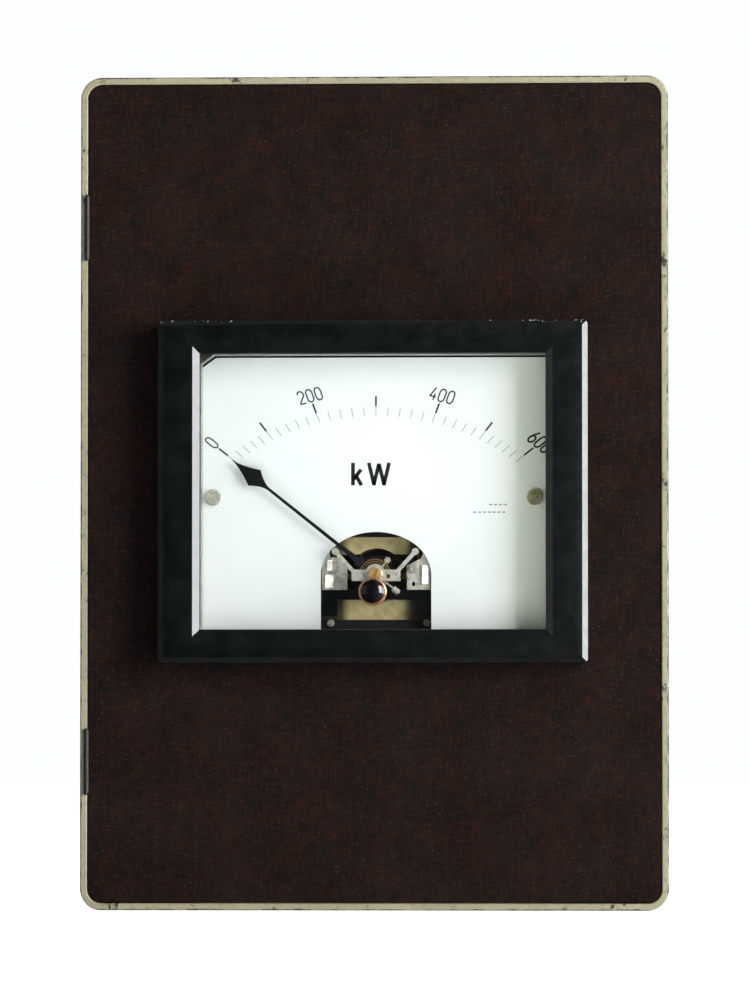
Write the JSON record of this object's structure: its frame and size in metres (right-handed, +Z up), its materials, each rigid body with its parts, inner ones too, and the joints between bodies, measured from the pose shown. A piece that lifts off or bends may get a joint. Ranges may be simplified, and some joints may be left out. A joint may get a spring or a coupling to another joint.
{
  "type": "panel meter in a hinged case",
  "caption": "Rectangular dial power meter with a swinging pointer, flush in the hinged laminate door of a steel instrument case.",
  "frame": {"origin": "middle of the case's underside, half way between the front of the bezel and the back edge of the case", "axes": "+Z up the case, -Y out of the dial towards the reader, +X to the reader's right"},
  "size_m": [0.165, 0.121, 0.234],
  "materials": {
    "case_paint": "aged beige stoving enamel, chipped along the edges",
    "laminate": "dark maroon fabric laminate, semi-gloss",
    "black_moulding": "black moulded phenolic, satin gloss",
    "black_enamel": "black enamel",
    "clear_glass": "clear float glass",
    "dial_white": "white enamelled dial with black printing",
    "fibre": "vulcanised red fibre",
    "zinc_steel": "zinc-plated steel",
    "nickel": "nickel plate",
    "hinge_black": "black japanned steel",
    "brass": "brass",
    "copper": "copper-coloured bronze",
    "core_varnish": "varnished iron laminations",
    "soft_iron": "soft iron",
    "winding": "enamelled copper winding",
    "aluminium": "thin aluminium sheet",
    "black_rubber": "rubber",
    "ceramic": "glazed bobbin with resistance wire",
    "pointer_black": "matt black pointer",
    "knob_black": "polished black"
  },
  "bodies": {
    "case": {"case_shell": "case_paint", "back_plate": "case_paint", "back_plate_screws": "zinc_steel", "door_stop_angles": "case_paint", "hinge_case_leaves": "hinge_black", "hinge_pins": "hinge_black", "catch_magnet": "black_moulding", "cable_grommets": "black_rubber", "earth_terminal": "brass"},
    "door": {"door_panel": "laminate", "hinge_door_leaves": "hinge_black", "hinge_door_screws": "zinc_steel", "catch_keeper": "zinc_steel", "meter_bezel": "black_moulding", "bezel_gasket": "fibre", "bezel_screws": "zinc_steel", "window_glass": "clear_glass", "glass_gasket": "fibre", "glass_retainer": "zinc_steel", "adjuster_ferrule": "copper", "meter_can": "black_enamel", "can_screws": "zinc_steel", "mounting_clamps": "zinc_steel", "clamp_screws": "zinc_steel", "scale_plate": "dial_white", "scale_screw_left": "nickel", "scale_screw_right": "brass", "scale_posts": "zinc_steel", "chassis_plate": "zinc_steel", "chassis_pillars": "zinc_steel", "core_frame": "black_enamel", "stator_core": "core_varnish", "core_screws": "nickel", "current_coils": "winding", "inner_core": "soft_iron", "core_support": "brass", "front_bridge": "nickel", "bridge_posts": "nickel", "jewel_screws": "brass", "jewel_nuts": "nickel", "terminal_bar": "black_moulding", "terminal_lugs": "nickel", "lug_screws": "nickel", "damping_chamber": "zinc_steel", "damping_cover": "zinc_steel", "series_resistors": "ceramic", "resistor_screws": "zinc_steel", "terminal_block": "black_moulding", "terminal_studs": "brass", "terminal_nuts": "brass", "rear_hairspring": "brass"},
    "movement": {"pointer": "pointer_black", "balance_cross": "nickel", "balance_weights": "nickel", "spindles": "nickel", "moving_coil": "winding", "damping_vane": "aluminium"},
    "zero_knob": {"zero_knob": "knob_black"},
    "zero_lever": {"zero_lever": "nickel", "front_hairspring": "brass"}
  },
  "joints": [
    {"name": "door_swing", "type": "hinge", "parent": "case", "child": "door", "pos_m": [-0.0807, -0.05025, 0.117], "axis": [0, 0, -1], "range_deg": [0, 110]},
    {"name": "pointer_deflection", "type": "hinge", "parent": "door", "child": "movement", "pos_m": [0.0005, -0.0495, 0.094], "axis": [0, 1, 0], "range_deg": [-1.5, 104], "stiffness_Nm_per_rad": 0.00002},
    {"name": "zero_adjust", "type": "hinge", "parent": "door", "child": "zero_knob", "pos_m": [0, -0.0575, 0.089], "axis": [0, 1, 0], "range_deg": [-45, 45]},
    {"name": "zero_lever_turn", "type": "hinge", "parent": "door", "child": "zero_lever", "pos_m": [0.0005, -0.0495, 0.094], "axis": [0, 1, 0], "range_deg": [-9, 9]}
  ],
  "couplings": [
    {"joint": "zero_lever_turn", "follows": "zero_adjust", "ratio": 0.185}
  ]
}
